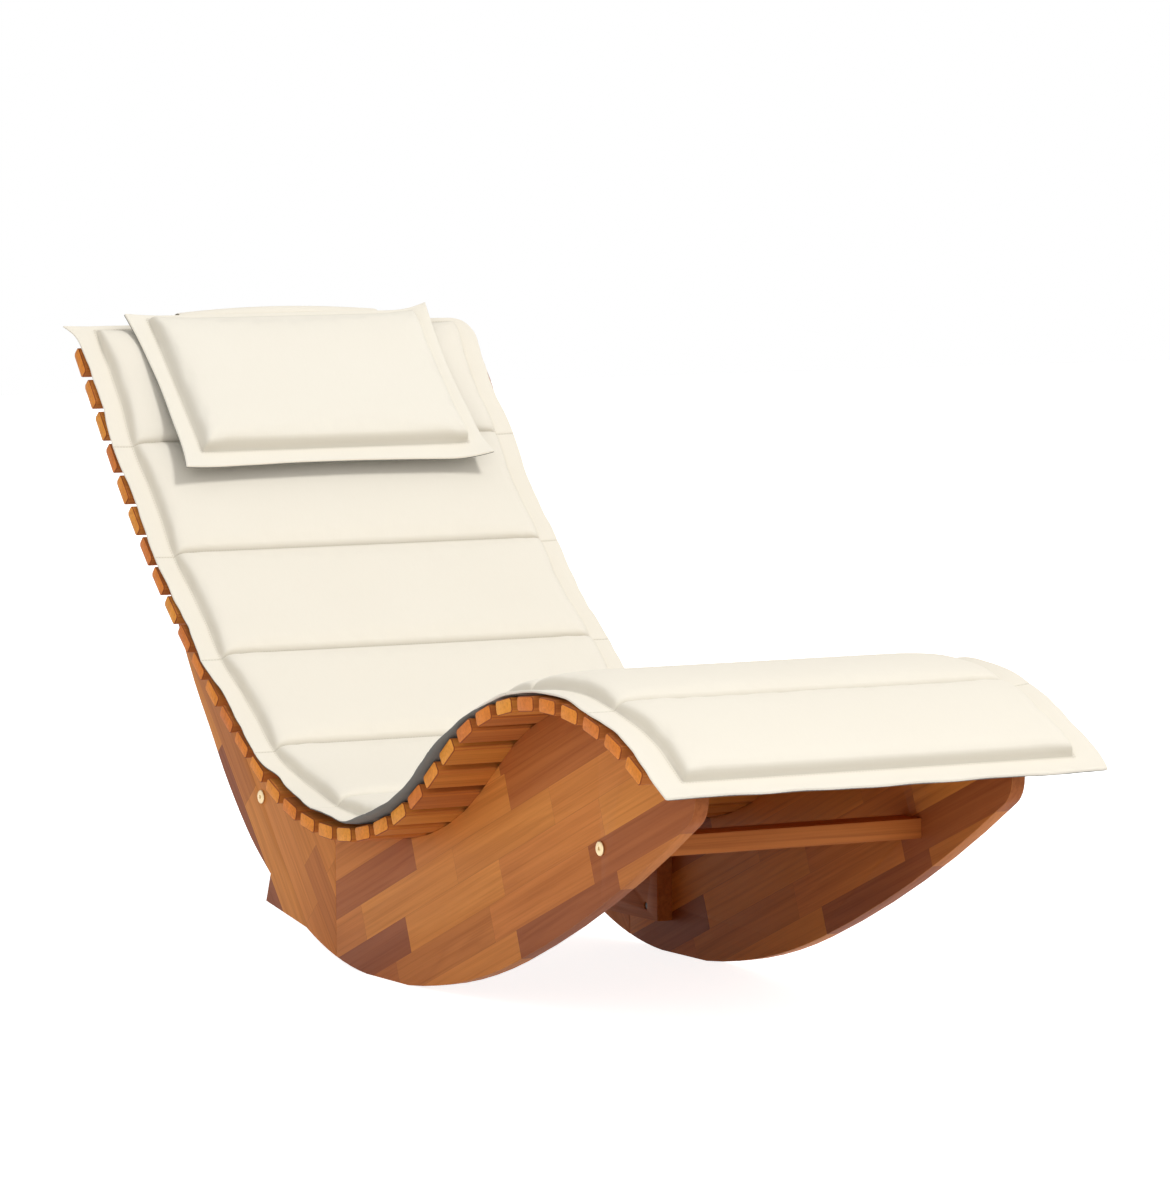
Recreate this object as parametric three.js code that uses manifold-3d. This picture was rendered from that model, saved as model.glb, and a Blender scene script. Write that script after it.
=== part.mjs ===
// Rocking chaise lounge: cross slats on a flowing lying curve, carried by two rocker sides,
// with a channelled cushion and a head pillow. Millimetres, +Z up, +X towards the feet.
import * as THREE from "three";
import { mergeVertices } from "three/addons/utils/BufferGeometryUtils.js";
import Module from "manifold-3d";

const wasm = await Module();
wasm.setup();

const degree = Math.PI / 180;

// Fits
const restGap = 0.3; // between pieces that rest on or pass through each other
const overrun = 4; // how far a cut runs past the face that it opens

// Lying curve: the line of the slats' undersides, from the head end to the foot end
const headSlope = 51 * degree; // below level at the head end
const headStraightLength = 173; // straight stretch behind the head
const backRadius = 1640;
const backTurn = 21 * degree;
const seatRadius = 430;
const seatTurn = 67 * degree;
const riseStraightLength = 73; // straight stretch up to the knees
const kneeRadius = 370;
const kneeTurn = 28 * degree;
const footRadius = 460; // the rest of the length bends down at this radius
const seatHeight = 181; // of the slats' undersides at the lowest point of the seat

// Slats
const slatCount = 35;
const slatLength = 600;
const slatWidth = 40;
const slatThickness = 18;
const slatSpacing = 13; // open gap between neighbours
const slatEdge = 3; // eased long edges
const slatPitch = slatWidth + slatSpacing;
const lyingLength = slatCount * slatPitch;

// Rocker sides
const sideSpread = 444; // over the outer faces of the two sides
const sideThickness = 18;
const seamBehind = 143; // seam of each side, behind the lowest point of the seat along the slats
const restFlatRear = -63; // rear end of the level edge that the empty lounge stands on
const restFlatFront = 53; // both from the lowest point of the seat
const rockerRearRadius = 520;
const rockerRearStart = 3 * degree; // slope where the rear arc leaves the level edge
const rockerRearEnd = 22.5 * degree;
const rockerFrontRadius = 1060;
const rockerFrontStart = 4.6 * degree;
const rockerFrontEnd = 20.5 * degree;
const rockerStep = 2.5 * degree;
const frontRunSteps = 6; // of the flatter run up to the nose
const noseRadius = 36;
const noseStart = 32 * degree; // slope where the run meets the nose
const noseSteps = 6;
const noseUpright = 26; // from the nose up to the last slat
const noseSeatShare = 0.73; // share of the last slat's width that rests on the nose
const heelReach = 119; // heel that stops the rocker from tipping back
const heelRise = 21;
const heelStepIn = 14;
const heelStepUp = 37;
const armTipDepth = 40; // arm under the back rest, at the head end
const armEdgePoints = 24;
// Depth of the arm below the lying curve: share of the way to the heel, share of the depth there
const armDepthShares = [[0.28, 0.42], [0.56, 0.68], [0.7, 0.8], [0.8, 0.9], [0.91, 0.98]];

// Boards that join the back and front panel of each side
const cleatWidth = 200;
const cleatHeight = 120;
const cleatThickness = 22;
const cleatForward = 14; // middle of the board ahead of the seam
const cleatBottom = 42; // above the lowest point of the rockers
const cleatScrewInset = 31; // from the board's upright edges
const cleatScrewDrop = 43; // from the board's middle down to its screws

// Wood screws of the joining boards
const screwHeadRadius = 4.5;
const screwHeadThickness = 2.5;
const screwShankRadius = 2;
const screwBite = 12; // length inside the side panel
const screwSink = 1.5; // head below the board's face
const screwFacets = 16;

// Cross rails between the sides
const railDepth = 45;
const railThickness = 24;
const rearRailBehind = 325; // behind the lowest point of the seat, along the slats
const rearRailDrop = 115.5; // below the slats
const frontRailFromFoot = 251.5; // from the foot end, along the slats
const frontRailDrop = 163;

// Bolts through the sides and barrel nuts inside the rails
const boltHeadRadius = 9;
const boltHeadThickness = 2.5;
const boltHeadEdge = 1;
const boltSocketRadius = 2.6;
const boltSocketDepth = 1.6;
const boltSocketSides = 6;
const boltRadius = 3;
const boltTail = 9; // past the middle of the barrel nut
const nutInset = 32; // from the end of the rail
const nutRadius = 5;
const nutLength = 14;
const roundFacets = 24;

// Cushion
const cushionWidth = slatLength;
const cushionCrown = 26;
const cushionFlange = 29; // flat sewn border
const flangeThickness = 5;
const headPanelLength = 172; // between sewn lines, at the head end
const panelLength = 191.6;
const panelCount = 8; // of that length
const footPanelLength = 163;
const cushionHeadPast = 23; // border's edge past the start of the lying curve
const channelShare = 0.42; // height left at a cross seam
const channelPinch = 11; // each side of a cross seam
const channelPinchShare = 0.8;
const sideDraw = 4; // sides drawn in between the cross seams
// Across the padding: share of the half width, share of the crown's height
const crownShares = [[1, 0], [0.97, 0.55], [0.88, 0.88], [0, 1]];

// Head pillow and the flap that holds it over the head end
const pillowWidth = 446;
const pillowLength = 274;
const pillowFlange = 27;
const pillowCrown = 34; // above the underside of its flange
const pillowBelly = 6.2;
const pillowDraw = 5; // sides and foot edge drawn in by the padding
const pillowHeadPast = 17; // pillow's top edge past the start of the lying curve
const pillowHeadLift = 24; // its flange above the slats at the top edge
const pillowTailLift = 49; // and at the bottom edge
// Through the pillow: share of the half size, share of the height of its crown and belly
const pillowShares = [[1, 0], [0.93, 0.45], [0.8, 0.8], [0.55, 0.96], [0.25, 1]];
const flapWidth = 300;
const flapThickness = 3;
const flapStraightLength = 5; // straight out of the pillow's seam
const flapRadius = 14;
const flapSteps = 12;
const flapDrop = 150;

// Colours and finishes
const woodColours = ["#b87a42", "#c98a4b", "#a9683a", "#bf8147", "#9c5c38"];
const sideWood = finish("#b06f3e", 0.5, 0);
const railWood = finish("#a8713a", 0.55, 0);
const cushionCloth = finish("#f4ecdc", 0.92, 0);
const pillowCloth = finish("#f6efe0", 0.92, 0);
const boltMetal = finish("#e3cd9f", 0.35, 0.8);
const nutMetal = finish("#b9bcc0", 0.35, 0.9);
const screwMetal = finish("#6d6a64", 0.45, 0.9);

const lounge = new THREE.Group();

addSlats();
addSides();
addRails();
addCushion();
addPillow();
standOnItsBase();

// Slats: one flat eased board for each pitch of the lying curve
function addSlats() {
  for (let i = 0; i < slatCount; i++) {
    const middle = (i + 0.5) * slatPitch;
    const slat = addMesh(slatName(i + 1), slatGeometry(), finish(woodColours[i % woodColours.length], 0.5, 0));
    placeOnCurve(slat, middle, 0);
  }
}

function slatName(number) {
  return `slat_${String(number).padStart(2, "0")}`;
}

function slatGeometry() {
  const half = slatWidth / 2;
  const outline = [
    [-half + slatEdge, 0], [half - slatEdge, 0], [half, slatEdge], [half, slatThickness - slatEdge],
    [half - slatEdge, slatThickness], [-half + slatEdge, slatThickness],
    [-half, slatThickness - slatEdge], [-half, slatEdge],
  ];
  return board(outline.map(([x, z]) => new THREE.Vector2(x, z)), slatLength);
}

// Sides: a back panel with the arm and heel, and a front panel with the rocker and nose
function addSides() {
  const seam = seamTop();
  const back = backPanelOutline(seam);
  const front = frontPanelOutline(seam);
  for (const side of [-1, 1]) {
    const hand = side < 0 ? "right" : "left";
    const middle = side * (sideSpread - sideThickness) / 2;
    const inner = side * (sideSpread / 2 - sideThickness);
    const screws = cleatScrewPlaces(seam.x);
    const drills = screws.map((place) => screwDrill(place, inner, side));
    addMesh(`${hand}_back_panel`, sidePanel(back, middle, boltDrill(rearRailPlace()), drills), sideWood);
    addMesh(`${hand}_front_panel`, sidePanel(front, middle, boltDrill(frontRailPlace()), drills), sideWood);
    addMesh(`${hand}_joint_cleat`, cut(cleatGeometry(seam.x, inner, side), drills), railWood);
    screws.forEach((place, i) => {
      const screw = screwGeometry();
      turnInward(screw, side).translate(place.x, inner - side * (restGap + cleatThickness - screwSink), place.y);
      addMesh(`${hand}_cleat_screw_${i + 1}`, screw, screwMetal);
    });
  }
}

function sidePanel(outline, middle, boltHole, drills) {
  const panel = board(outline, sideThickness);
  panel.translate(0, middle, 0);
  return cut(panel, [boltHole, ...drills]);
}

// The two panels of a side meet halfway between two slats
function seamTop() {
  const [, before] = slatSeat(backPanelSlats() - 1);
  const [after] = slatSeat(backPanelSlats());
  return before.clone().lerp(after, 0.5);
}

function backPanelSlats() {
  return Math.round((seatBottomDistance() - seamBehind) / slatPitch);
}

// The flat that a slat sits on: its two ends in the side view
function slatSeat(index) {
  const middle = curveAt((index + 0.5) * slatPitch);
  const along = new THREE.Vector2(Math.cos(middle.slope), Math.sin(middle.slope));
  const seat = liftedPoint(middle, -restGap);
  const reach = along.multiplyScalar(slatWidth / 2);
  return [seat.clone().sub(reach), seat.clone().add(reach)];
}

function slatSeats(first, last) {
  const points = [];
  for (let i = first; i <= last; i++) {
    points.push(...slatSeat(i));
  }
  return points;
}

function backPanelOutline(seam) {
  const x = seam.x - restGap / 2;
  const rear = rearArc();
  const rearEnd = rear.at(-1);
  const heelTip = new THREE.Vector2(rearEnd.x - heelReach, rearEnd.y + heelRise);
  const heelTop = new THREE.Vector2(heelTip.x + heelStepIn, heelTip.y + heelStepUp);
  return [
    ...slatSeats(0, backPanelSlats() - 1),
    new THREE.Vector2(x, seam.y),
    edgeAt(rear, x),
    ...rear.filter((point) => point.x < x),
    heelTip,
    ...armEdge(heelTop),
  ];
}

// Back edge of the arm, from the heel up to the head end
function armEdge(heelTop) {
  const start = (slatPitch - slatWidth) / 2;
  const heel = nearestOnCurve(heelTop);
  const points = armDepthShares.map(([way, depth]) => {
    return liftedPoint(curveAt(heel.distance * way), -heel.depth * depth);
  });
  const head = liftedPoint(curveAt(start), -armTipDepth);
  return new THREE.SplineCurve([heelTop, ...points.reverse(), head]).getPoints(armEdgePoints);
}

function nearestOnCurve(point) {
  let best = { distance: 0, depth: Infinity };
  for (let i = 0; i <= slatCount * 8; i++) {
    const distance = lyingLength * i / (slatCount * 8);
    const place = curveAt(distance);
    const depth = Math.hypot(place.x - point.x, place.z - point.y);
    if (depth < best.depth) {
      best = { distance, depth };
    }
  }
  return best;
}

function frontPanelOutline(seam) {
  const x = seam.x + restGap / 2;
  const rear = rearArc();
  const [seatStart, seatEnd] = slatSeat(slatCount - 1);
  const noseTop = seatStart.clone().lerp(seatEnd, noseSeatShare);
  return [
    edgeAt(rear, x),
    ...rear.filter((point) => point.x > x).reverse(),
    ...frontEdge(noseTop),
    noseTop,
    seatStart,
    ...slatSeats(backPanelSlats(), slatCount - 2).reverse(),
    new THREE.Vector2(x, seam.y),
  ];
}

// Rocker edge behind the level part, from its front end to the heel
function rearArc() {
  const start = new THREE.Vector2(-restFlatRear, 0);
  const turn = rockerRearEnd - rockerRearStart;
  const steps = Math.ceil(turn / rockerStep);
  const points = [start, ...bend(start, rockerRearStart, rockerRearRadius, turn, steps)];
  return points.map((point) => new THREE.Vector2(-point.x, point.y));
}

// Rocker edge ahead of the level part, with the flatter run up to the nose under the last slat
function frontEdge(noseTop) {
  const start = new THREE.Vector2(restFlatFront, 0);
  const turn = rockerFrontEnd - rockerFrontStart;
  const arc = bend(start, rockerFrontStart, rockerFrontRadius, turn, Math.ceil(turn / rockerStep));
  const noseTurn = Math.PI / 2 - noseStart;
  const drop = noseRadius * Math.sin(noseTurn) + noseUpright;
  const runEnd = new THREE.Vector2(noseTop.x - noseRadius * (1 - Math.cos(noseTurn)), noseTop.y - drop);
  const run = slopedRun(arc.at(-1), rockerFrontEnd, runEnd, noseStart, frontRunSteps);
  return [start, ...arc, ...run, ...bend(runEnd, noseStart, noseRadius, noseTurn, noseSteps)];
}

// Smooth run between two points with a given slope at each, without the first point
function slopedRun(start, startSlope, end, endSlope, steps) {
  const reach = start.distanceTo(end) / 3;
  const leaving = start.clone().add(new THREE.Vector2(reach, 0).rotateAround(new THREE.Vector2(), startSlope));
  const arriving = end.clone().sub(new THREE.Vector2(reach, 0).rotateAround(new THREE.Vector2(), endSlope));
  return new THREE.CubicBezierCurve(start, leaving, arriving, end).getPoints(steps).slice(1);
}

// Point of an edge at a place along the lounge
function edgeAt(points, x) {
  const next = points.findIndex((point) => point.x < x);
  const from = points[next - 1];
  const to = points[next];
  return from.clone().lerp(to, (x - from.x) / (to.x - from.x));
}

// Points along a left-hand bend that sets off from a point at a heading, without that point
function bend(start, heading, radius, turn, steps) {
  const points = [];
  for (let i = 1; i <= steps; i++) {
    const angle = heading + turn * i / steps;
    const x = start.x + radius * (Math.sin(angle) - Math.sin(heading));
    const z = start.y + radius * (Math.cos(heading) - Math.cos(angle));
    points.push(new THREE.Vector2(x, z));
  }
  return points;
}

// Joining boards and their screws
function cleatGeometry(seamX, inner, side) {
  const cleat = new THREE.BoxGeometry(cleatWidth, cleatThickness, cleatHeight);
  const y = inner - side * (restGap + cleatThickness / 2);
  return cleat.translate(seamX + cleatForward, y, cleatBottom + cleatHeight / 2);
}

function cleatScrewPlaces(seamX) {
  const reach = cleatWidth / 2 - cleatScrewInset;
  const z = cleatBottom + cleatHeight / 2 - cleatScrewDrop;
  return [-1, 1].map((way) => new THREE.Vector2(seamX + cleatForward + way * reach, z));
}

function screwProfile(clearance, headRise) {
  const shank = screwShankRadius + clearance;
  const head = screwHeadRadius + clearance;
  const neck = screwHeadThickness + clearance;
  const tip = cleatThickness - screwSink + restGap + screwBite + clearance;
  return [[0, headRise], [head, headRise], [head, -neck], [shank, -neck], [shank, -tip], [0, -tip - shank]];
}

function screwGeometry() {
  return lathed(screwProfile(0, 0), screwFacets);
}

function screwDrill(place, inner, side) {
  const drill = lathed(screwProfile(restGap, screwSink + overrun), screwFacets);
  return turnInward(drill, side).translate(place.x, inner - side * (restGap + cleatThickness - screwSink), place.y);
}

// A lathed piece has its head up: this lays it down so that its head faces the middle of the lounge
function turnInward(geometry, side) {
  return geometry.rotateX(side * Math.PI / 2);
}

// Cross rails, their bolts and barrel nuts
function addRails() {
  addRail("rear", rearRailPlace());
  addRail("front", frontRailPlace());
}

function rearRailPlace() {
  return liftedPoint(curveAt(seatBottomDistance() - rearRailBehind), -rearRailDrop);
}

function frontRailPlace() {
  return liftedPoint(curveAt(lyingLength - frontRailFromFoot), -frontRailDrop);
}

function addRail(end, { x, y: z }) {
  const length = sideSpread - 2 * (sideThickness + restGap);
  const blank = new THREE.BoxGeometry(railDepth, length, railThickness).translate(x, 0, z);
  const nutHole = nutLength / 2 + restGap;
  const drills = [];
  for (const side of [-1, 1]) {
    const nutY = side * (length / 2 - nutInset);
    const boreEnd = nutInset + boltTail + restGap;
    const bore = alongY(boltRadius + restGap, boreEnd + overrun, roundFacets);
    drills.push(bore.translate(x, side * (length + overrun - boreEnd) / 2, z));
    const depth = railThickness / 2 + nutHole + overrun;
    drills.push(upright(nutRadius + restGap, depth, roundFacets).translate(x, nutY, z + nutHole - depth / 2));
    addFasteners(end, side, x, nutY, z);
  }
  addMesh(`${end}_rail`, cut(blank, drills), railWood);
}

function addFasteners(end, side, x, nutY, z) {
  const hand = side < 0 ? "right" : "left";
  const nut = cut(upright(nutRadius, nutLength, roundFacets), [
    alongY(boltRadius + restGap, 2 * nutRadius + overrun, roundFacets),
  ]);
  addMesh(`${end}_${hand}_barrel_nut`, nut.translate(x, nutY, z), nutMetal);
  const seat = side * (sideSpread / 2 + restGap);
  const bolt = boltGeometry(Math.abs(seat - nutY) + boltTail);
  addMesh(`${end}_${hand}_bolt`, bolt.rotateX(-side * Math.PI / 2).translate(x, seat, z), boltMetal);
}

// Bolt standing on its tail, with the underside of its head at height zero
function boltGeometry(length) {
  const rim = boltHeadThickness - boltHeadEdge;
  const bolt = lathed([
    [0, boltHeadThickness], [boltHeadRadius - boltHeadEdge, boltHeadThickness], [boltHeadRadius, rim],
    [boltHeadRadius, 0], [boltRadius, 0], [boltRadius, -length], [0, -length],
  ], roundFacets);
  const socket = upright(boltSocketRadius, boltSocketDepth + overrun, boltSocketSides);
  return cut(bolt, [socket.translate(0, 0, boltHeadThickness + (overrun - boltSocketDepth) / 2)]);
}

function boltDrill(place) {
  return alongY(boltRadius + restGap, sideSpread + overrun, roundFacets).translate(place.x, 0, place.y);
}

// Cushion: rings across the lounge, swept along the lying curve
function addCushion() {
  const rings = cushionStations().map(cushionRing);
  addMesh("cushion", sweep(rings), cushionCloth);
}

function cushionStations() {
  const seams = cushionSeams();
  const stations = [seams[0] - cushionFlange, ...seams, seams.at(-1) + cushionFlange];
  for (let i = 0; i < slatCount; i++) {
    const middle = (i + 0.5) * slatPitch;
    stations.push(middle - slatWidth / 2, middle + slatWidth / 2);
  }
  for (let i = 1; i < seams.length; i++) {
    stations.push(seams[i - 1] + channelPinch, seams[i] - channelPinch);
  }
  const sorted = [...new Set(stations)].sort((a, b) => a - b);
  return sorted.filter((place, i) => i === 0 || place - sorted[i - 1] > restGap);
}

// Sewn lines across the cushion, from the head border to the foot border
function cushionSeams() {
  const start = cushionFlange - cushionHeadPast;
  const seams = [start, start + headPanelLength];
  for (let i = 0; i < panelCount; i++) {
    seams.push(seams.at(-1) + panelLength);
  }
  return [...seams, seams.at(-1) + footPanelLength];
}

function cushionRing(place) {
  const seams = cushionSeams();
  const next = seams.findIndex((seam) => seam > place);
  const padded = next > 0 && place >= seams[0];
  const swell = padded ? channelHeight(place, seams, next) : 0;
  const way = padded ? (place - seams[next - 1]) / (seams[next] - seams[next - 1]) : 0;
  const draw = sideDraw * Math.sin(Math.PI * way) ** 2;
  const half = cushionWidth / 2 - draw;
  const padHalf = half - cushionFlange;
  const base = cushionBase(place);
  const top = [[half, 0], ...crownShares.map(([side, up]) => [padHalf * side, up * swell])];
  const points = [...top.map(([y, up]) => [-y, up]), ...top.slice(0, -1).reverse()];
  const ring = points.map(([y, up]) => {
    const lift = flangeThickness + up * (cushionCrown - flangeThickness);
    return alongNormal(base, lift, y);
  });
  return [...ring, alongNormal(base, 0, half), alongNormal(base, 0, -half)];
}

// Share of the crown's height at a place between two sewn lines
function channelHeight(place, seams, next) {
  const fromLast = place - seams[next - 1];
  const toNext = seams[next] - place;
  const nearest = fromLast < toNext ? next - 1 : next;
  const atBorder = nearest === 0 || nearest === seams.length - 1;
  const seamShare = atBorder ? 0 : channelShare;
  const away = Math.min(fromLast, toNext);
  if (away <= channelPinch) {
    return seamShare + (channelPinchShare - seamShare) * away / channelPinch;
  }
  const rest = (away - channelPinch) / ((fromLast + toNext) / 2 - channelPinch);
  return channelPinchShare + (1 - channelPinchShare) * Math.sin(rest * Math.PI / 2);
}

// Underside of the cushion: straight over each slat and from slat to slat
function cushionBase(place) {
  const index = THREE.MathUtils.clamp(Math.floor(place / slatPitch), 0, slatCount - 1);
  const middle = (index + 0.5) * slatPitch;
  const lift = slatThickness + restGap;
  const slope = curveAt(place).slope;
  const offset = place - middle;
  const outside = place < 0 || place > lyingLength;
  if (Math.abs(offset) <= slatWidth / 2 || outside) {
    return onSlatTop(index, offset, lift, slope);
  }
  const before = onSlatTop(offset < 0 ? index - 1 : index, slatWidth / 2, lift, slope);
  const after = onSlatTop(offset < 0 ? index : index + 1, -slatWidth / 2, lift, slope);
  const share = (offset < 0 ? offset + slatPitch - slatWidth / 2 : offset - slatWidth / 2) / slatSpacing;
  return { ...before, x: before.x + (after.x - before.x) * share, z: before.z + (after.z - before.z) * share };
}

function onSlatTop(index, offset, lift, slope) {
  const within = THREE.MathUtils.clamp(index, 0, slatCount - 1);
  const place = curveAt((within + 0.5) * slatPitch);
  const top = liftedPoint(place, lift);
  const reach = offset + (index - within) * slatPitch;
  return { x: top.x + reach * Math.cos(place.slope), z: top.y + reach * Math.sin(place.slope), slope };
}

// Pillow on the cushion, and the flap that folds over the head end
function addPillow() {
  const top = liftedPoint(curveAt(-pillowHeadPast), slatThickness + pillowHeadLift);
  const bottom = liftedPoint(curveAt(pillowLength - pillowHeadPast), slatThickness + pillowTailLift);
  const slope = Math.atan2(bottom.y - top.y, bottom.x - top.x);
  const pillow = addMesh("pillow", pillowGeometry(), pillowCloth);
  pillow.position.set(top.x, 0, top.y);
  pillow.rotation.y = -slope;
  const flap = addMesh("pillow_flap", flapGeometry(slope), pillowCloth);
  flap.position.set(top.x, 0, top.y);
}

function pillowGeometry() {
  const across = mirrored(pillowShares.map(([side, up]) => [side * (1 - 2 * pillowFlange / pillowWidth), up]));
  const along = mirrored(pillowShares.map(([side, up]) => [side * (1 - 2 * pillowFlange / pillowLength), up]));
  const rings = along.map(([way, rise]) => {
    const crown = pillowCrown - flangeThickness;
    const top = across.map(([side, up]) => pillowPoint(way, side, flangeThickness + up * rise * crown));
    const under = across.map(([side, up]) => pillowPoint(way, side, -up * rise * pillowBelly));
    return [...top, ...under.reverse()];
  });
  return sweep(rings);
}

function pillowPoint(way, side, height) {
  const halfLength = pillowLength / 2;
  const halfWidth = pillowWidth / 2;
  const footDraw = way > 0 ? pillowDraw : 0;
  const x = halfLength + way * (halfLength - footDraw * Math.cos(side * Math.PI / 2));
  const y = side * (halfWidth - pillowDraw * Math.cos(way * Math.PI / 2));
  return new THREE.Vector3(x, y, height);
}

// Shares from one edge to the other, with the outer edge added
function mirrored(shares) {
  const half = [[1, 0], ...shares];
  const other = half.map(([side, up]) => [-side, up]);
  return [...other, ...half.reverse()];
}

function flapGeometry(slope) {
  const away = slope + Math.PI;
  const seam = new THREE.Vector2(-Math.sin(slope), Math.cos(slope)).multiplyScalar(flangeThickness / 2);
  const out = new THREE.Vector2(Math.cos(away), Math.sin(away));
  const start = seam.clone().addScaledVector(out, restGap);
  const end = start.clone().addScaledVector(out, flapStraightLength);
  const fold = bend(end, away, flapRadius, 3 * Math.PI / 2 - away, flapSteps);
  const last = fold[fold.length - 1];
  const line = [start, end, ...fold, new THREE.Vector2(last.x, last.y - flapDrop)];
  return board(thickened(line, flapThickness), flapWidth);
}

// Closed outline of a strip of one thickness along an open line
function thickened(line, thickness) {
  const sides = [1, -1].map((way) => line.map((point, i) => {
    const from = line[Math.max(i - 1, 0)];
    const to = line[Math.min(i + 1, line.length - 1)];
    const across = to.clone().sub(from).normalize().rotateAround(new THREE.Vector2(), way * Math.PI / 2);
    return point.clone().addScaledVector(across, thickness / 2);
  }));
  return [...sides[0], ...sides[1].reverse()];
}

// Lying curve: place and slope at a distance from the head end, straight on past both ends
function curveAt(distance) {
  const origin = curveFromHead(seatBottomDistance());
  const place = curveFromHead(distance);
  return { x: place.x - origin.x, z: place.z - origin.z + seatHeight, slope: place.slope };
}

function seatBottomDistance() {
  return headStraightLength + backRadius * backTurn + seatRadius * (headSlope - backTurn);
}

function curveRuns() {
  const runs = [
    { length: headStraightLength, bending: 0 },
    { length: backRadius * backTurn, bending: 1 / backRadius },
    { length: seatRadius * seatTurn, bending: 1 / seatRadius },
    { length: riseStraightLength, bending: 0 },
    { length: kneeRadius * kneeTurn, bending: -1 / kneeRadius },
  ];
  const used = runs.reduce((sum, run) => sum + run.length, 0);
  return [...runs, { length: lyingLength - used, bending: -1 / footRadius }];
}

function curveFromHead(distance) {
  const place = { x: 0, z: 0, slope: -headSlope };
  let left = distance;
  if (left > 0) {
    for (const run of curveRuns()) {
      advance(place, Math.min(left, run.length), run.bending);
      left = Math.max(left - run.length, 0);
    }
  }
  advance(place, left, 0);
  return place;
}

function advance(place, length, bending) {
  const turn = length * bending;
  const chord = bending === 0 ? length : 2 * Math.sin(turn / 2) / bending;
  place.x += chord * Math.cos(place.slope + turn / 2);
  place.z += chord * Math.sin(place.slope + turn / 2);
  place.slope += turn;
}

// A point in the side view, lifted square off a place on the lying curve
function liftedPoint(place, lift) {
  return new THREE.Vector2(place.x - lift * Math.sin(place.slope), place.z + lift * Math.cos(place.slope));
}

function alongNormal(place, lift, y) {
  const point = liftedPoint(place, lift);
  return new THREE.Vector3(point.x, y, point.y);
}

function placeOnCurve(mesh, distance, lift) {
  const place = curveAt(distance);
  const point = liftedPoint(place, lift);
  mesh.position.set(point.x, 0, point.y);
  mesh.rotation.y = -place.slope;
}

// Shared makers
function finish(color, roughness, metalness) {
  return new THREE.MeshStandardMaterial({ color, roughness, metalness });
}

function addMesh(name, geometry, material) {
  const mesh = new THREE.Mesh(geometry, material);
  mesh.name = name;
  lounge.add(mesh);
  return mesh;
}

// Outline in the side view, made a board across the lounge, centred on its middle plane
function board(outline, width) {
  const shape = new THREE.Shape(outline);
  const geometry = new THREE.ExtrudeGeometry(shape, { depth: width, bevelEnabled: false, steps: 1 });
  return geometry.rotateX(Math.PI / 2).translate(0, width / 2, 0);
}

function upright(radius, length, sides) {
  return new THREE.CylinderGeometry(radius, radius, length, sides).rotateX(Math.PI / 2);
}

function alongY(radius, length, sides) {
  return new THREE.CylinderGeometry(radius, radius, length, sides);
}

// Profile of radius and height pairs, from the axis at the top to the axis at the bottom
function lathed(profile, sides) {
  const points = profile.map(([radius, height]) => new THREE.Vector2(radius, height)).reverse();
  return new THREE.LatheGeometry(points, sides).rotateX(Math.PI / 2);
}

// Closed skin through rings of equal count, with ends that fan out from their middles
function sweep(rings) {
  const count = rings[0].length;
  const ends = [rings[0], rings.at(-1)].map(middleOf);
  const positions = [...rings.flat(), ...ends].flatMap((point) => point.toArray());
  const index = [];
  for (let i = 0; i < rings.length - 1; i++) {
    for (let j = 0; j < count; j++) {
      const a = i * count + j;
      const b = i * count + (j + 1) % count;
      index.push(a, a + count, b, b, a + count, b + count);
    }
  }
  const last = (rings.length - 1) * count;
  const firstMiddle = last + count;
  for (let j = 0; j < count; j++) {
    const k = (j + 1) % count;
    index.push(firstMiddle, j, k, firstMiddle + 1, last + k, last + j);
  }
  const geometry = new THREE.BufferGeometry();
  geometry.setAttribute("position", new THREE.Float32BufferAttribute(positions, 3));
  geometry.setIndex(index);
  geometry.computeVertexNormals();
  return geometry;
}

function middleOf(points) {
  const sum = points.reduce((total, point) => total.add(point), new THREE.Vector3());
  return sum.divideScalar(points.length);
}

function cut(blank, tools) {
  const solid = tools.reduce((rest, tool) => rest.subtract(solidOf(tool)), solidOf(blank));
  const mesh = solid.getMesh();
  const geometry = new THREE.BufferGeometry();
  geometry.setAttribute("position", new THREE.BufferAttribute(mesh.vertProperties, 3));
  geometry.setIndex(new THREE.BufferAttribute(mesh.triVerts, 1));
  geometry.computeVertexNormals();
  return geometry;
}

function solidOf(geometry) {
  const bare = geometry.clone();
  bare.deleteAttribute("normal");
  bare.deleteAttribute("uv");
  const merged = mergeVertices(bare);
  const vertProperties = new Float32Array(merged.attributes.position.array);
  const triVerts = new Uint32Array(merged.index.array);
  return new wasm.Manifold(new wasm.Mesh({ numProp: 3, vertProperties, triVerts }));
}

// Origin on the floor, under the middle of the whole lounge
function standOnItsBase() {
  lounge.updateMatrixWorld(true);
  const box = new THREE.Box3().setFromObject(lounge, true);
  const middle = box.getCenter(new THREE.Vector3());
  lounge.position.set(-middle.x, -middle.y, -box.min.z);
  lounge.updateMatrixWorld(true);
}

export default lounge;
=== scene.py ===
# Rocking chaise lounge: wood, fastenings, quilted cushion, head pillow, floor, light and camera.
# Metres, +Z up, +X towards the feet, the lounge stands on z = 0.
import math
from itertools import accumulate

import bmesh
import bpy
import numpy as np
from mathutils import Matrix, Vector, noise


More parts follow.
